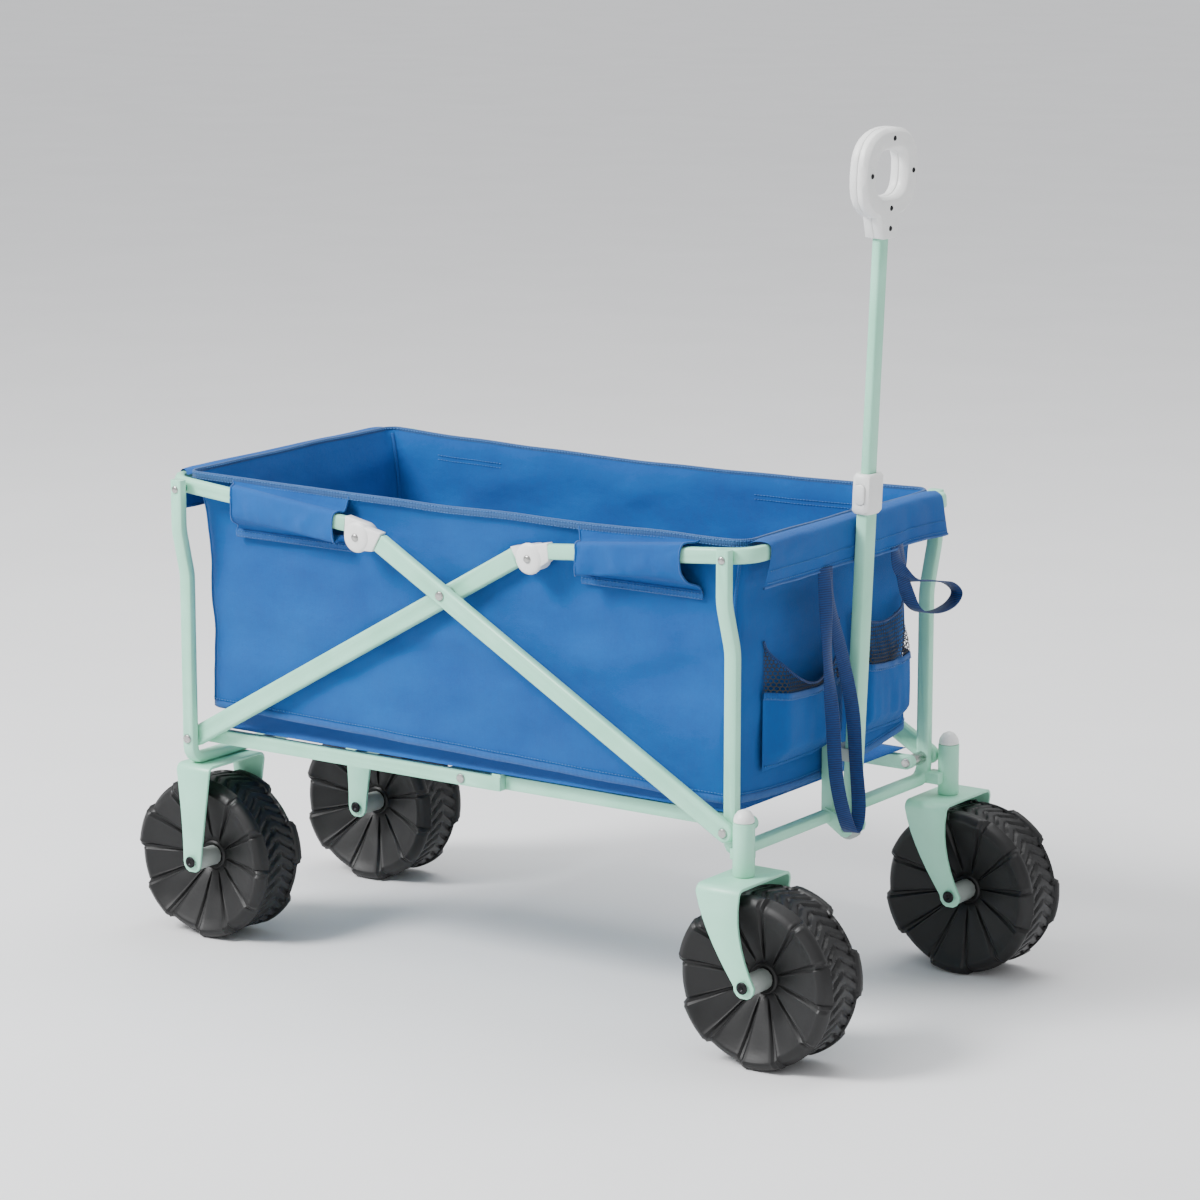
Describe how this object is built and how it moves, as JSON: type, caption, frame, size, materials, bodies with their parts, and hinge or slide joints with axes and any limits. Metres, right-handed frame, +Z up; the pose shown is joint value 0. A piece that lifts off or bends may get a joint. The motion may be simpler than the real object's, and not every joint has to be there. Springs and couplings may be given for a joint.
{
  "type": "folding beach cart",
  "caption": "Folding four-wheeled beach cart with a scissor-braced tube frame, hanging fabric bag, wide lugged wheels, swivelling front forks and a telescoping pull handle.",
  "frame": {"origin": "on the ground under the middle of the cart's bounding box", "axes": "+X towards the handle end, +Y to the far side, +Z up"},
  "size_m": [1.147, 0.625, 1.1285],
  "materials": {
    "frame_paint": "satin powder coat",
    "blue_cloth": "coarse woven polyester",
    "navy_webbing": "ribbed webbing",
    "black_wheel": "satin moulded",
    "white_plastic": "smooth satin",
    "grey_plastic": "satin",
    "axle_parts": "satin spacers with a dark bolt head",
    "steel": "bright"
  },
  "bodies": {
    "rear_frame": {"rear_end_frame": "frame_paint", "near_rear_fork": "frame_paint", "far_rear_fork": "frame_paint", "near_rear_foot_bolt": "steel", "far_rear_foot_bolt": "steel", "bag_rear_end": "blue_cloth", "bag_near_side": "blue_cloth", "bag_far_side": "blue_cloth", "bag_floor": "blue_cloth", "near_rear_axle": "axle_parts", "far_rear_axle": "axle_parts"},
    "front_frame": {"front_end_frame": "frame_paint", "near_front_foot_bolt": "steel", "far_front_foot_bolt": "steel", "near_caster_cap": "white_plastic", "far_caster_cap": "white_plastic", "handle_clip": "grey_plastic", "bag_front_end": "blue_cloth", "near_pocket": "blue_cloth", "far_pocket": "blue_cloth"},
    "rear_top_rail": {"rear_top_rail": "frame_paint", "near_rear_rail_knuckle": "white_plastic", "far_rear_rail_knuckle": "white_plastic"},
    "front_top_rail": {"front_top_rail": "frame_paint", "near_front_rail_knuckle": "white_plastic", "far_front_rail_knuckle": "white_plastic", "near_front_hinge_rivet": "steel", "far_front_hinge_rivet": "steel"},
    "inner_braces": {"near_inner_brace": "frame_paint", "far_inner_brace": "frame_paint", "near_inner_brace_knuckle": "white_plastic", "far_inner_brace_knuckle": "white_plastic", "near_crossing_rivet": "steel", "far_crossing_rivet": "steel"},
    "outer_braces": {"near_outer_brace": "frame_paint", "far_outer_brace": "frame_paint", "near_outer_brace_knuckle": "white_plastic", "far_outer_brace_knuckle": "white_plastic", "near_rear_hinge_rivet": "steel", "far_rear_hinge_rivet": "steel"},
    "rear_floor": {"rear_floor_frame": "frame_paint", "near_middle_bolt": "steel", "far_middle_bolt": "steel"},
    "front_floor": {"front_floor_frame": "frame_paint"},
    "near_caster": {"near_front_fork": "frame_paint", "near_front_axle": "axle_parts"},
    "near_front_wheel": {"near_front_wheel": "black_wheel"},
    "near_rear_wheel": {"near_rear_wheel": "black_wheel"},
    "far_caster": {"far_front_fork": "frame_paint", "far_front_axle": "axle_parts"},
    "far_front_wheel": {"far_front_wheel": "black_wheel"},
    "far_rear_wheel": {"far_rear_wheel": "black_wheel"},
    "handle_lower": {"handle_lower_tube": "frame_paint", "handle_boot": "white_plastic", "handle_collar": "white_plastic"},
    "handle_upper": {"handle_upper_tube": "frame_paint", "grip_front": "white_plastic", "grip_back": "white_plastic"},
    "handle_button": {"collar_button": "white_plastic"}
  },
  "joints": [
    {"name": "fold", "type": "hinge", "parent": "rear_frame", "child": "inner_braces", "pos_m": [-0.4635, 0, 0.281], "axis": [0, -1, 0], "range_deg": [0, 45.56], "deforming": ["bag_near_side", "bag_far_side", "bag_floor"]},
    {"name": "brace_crossing", "type": "hinge", "parent": "inner_braces", "child": "outer_braces", "pos_m": [-0.0335, 0, 0.5276], "axis": [0, -1, 0], "range_deg": [-91.13, 0]},
    {"name": "front_foot", "type": "hinge", "parent": "outer_braces", "child": "front_frame", "pos_m": [0.3965, 0, 0.281], "axis": [0, -1, 0], "range_deg": [0, 45.57]},
    {"name": "rear_rail_turn", "type": "hinge", "parent": "rear_frame", "child": "rear_top_rail", "pos_m": [-0.4635, 0, 0.622], "axis": [0, -1, 0], "range_deg": [0, 81.04]},
    {"name": "front_rail_turn", "type": "hinge", "parent": "front_frame", "child": "front_top_rail", "pos_m": [0.3965, 0, 0.622], "axis": [0, -1, 0], "range_deg": [-81.04, 0]},
    {"name": "rear_floor_turn", "type": "hinge", "parent": "rear_frame", "child": "rear_floor", "pos_m": [-0.4635, 0, 0.281], "axis": [0, -1, 0], "range_deg": [0, 73.11]},
    {"name": "front_floor_turn", "type": "hinge", "parent": "front_frame", "child": "front_floor", "pos_m": [0.3965, 0, 0.281], "axis": [0, -1, 0], "range_deg": [-73.11, 0]},
    {"name": "near_caster_swivel", "type": "hinge", "parent": "front_frame", "child": "near_caster", "pos_m": [0.4245, -0.249, 0.24], "axis": [0, 0, 1], "continuous": true},
    {"name": "near_front_wheel_spin", "type": "hinge", "parent": "near_caster", "child": "near_front_wheel", "pos_m": [0.4635, -0.249, 0.11], "axis": [0, 1, 0], "continuous": true},
    {"name": "near_rear_wheel_spin", "type": "hinge", "parent": "rear_frame", "child": "near_rear_wheel", "pos_m": [-0.4635, -0.181, 0.11], "axis": [0, 1, 0], "continuous": true},
    {"name": "far_caster_swivel", "type": "hinge", "parent": "front_frame", "child": "far_caster", "pos_m": [0.4245, 0.249, 0.24], "axis": [0, 0, 1], "continuous": true},
    {"name": "far_front_wheel_spin", "type": "hinge", "parent": "far_caster", "child": "far_front_wheel", "pos_m": [0.4635, 0.249, 0.11], "axis": [0, 1, 0], "continuous": true},
    {"name": "far_rear_wheel_spin", "type": "hinge", "parent": "rear_frame", "child": "far_rear_wheel", "pos_m": [-0.4635, 0.181, 0.11], "axis": [0, 1, 0], "continuous": true},
    {"name": "handle_tilt", "type": "hinge", "parent": "front_frame", "child": "handle_lower", "pos_m": [0.42622, 0, 0.24103], "axis": [0, 1, 0], "range_deg": [0, 86]},
    {"name": "handle_slide", "type": "slide", "parent": "handle_lower", "child": "handle_upper", "axis": [0.0426, 0, 0.9991], "range_m": [-0.28, 0]},
    {"name": "collar_button_press", "type": "slide", "parent": "handle_lower", "child": "handle_button", "axis": [0, 1, 0], "range_m": [0, 0.0025], "stiffness_N_per_m": 800}
  ],
  "couplings": [
    {"joint": "brace_crossing", "follows": "fold", "ratio": -2},
    {"joint": "front_foot", "follows": "fold", "ratio": 1},
    {"joint": "rear_rail_turn", "follows": "fold", "ratio": 1.7786},
    {"joint": "front_rail_turn", "follows": "fold", "ratio": -1.7786},
    {"joint": "rear_floor_turn", "follows": "fold", "ratio": 1.6045},
    {"joint": "front_floor_turn", "follows": "fold", "ratio": -1.6045}
  ]
}
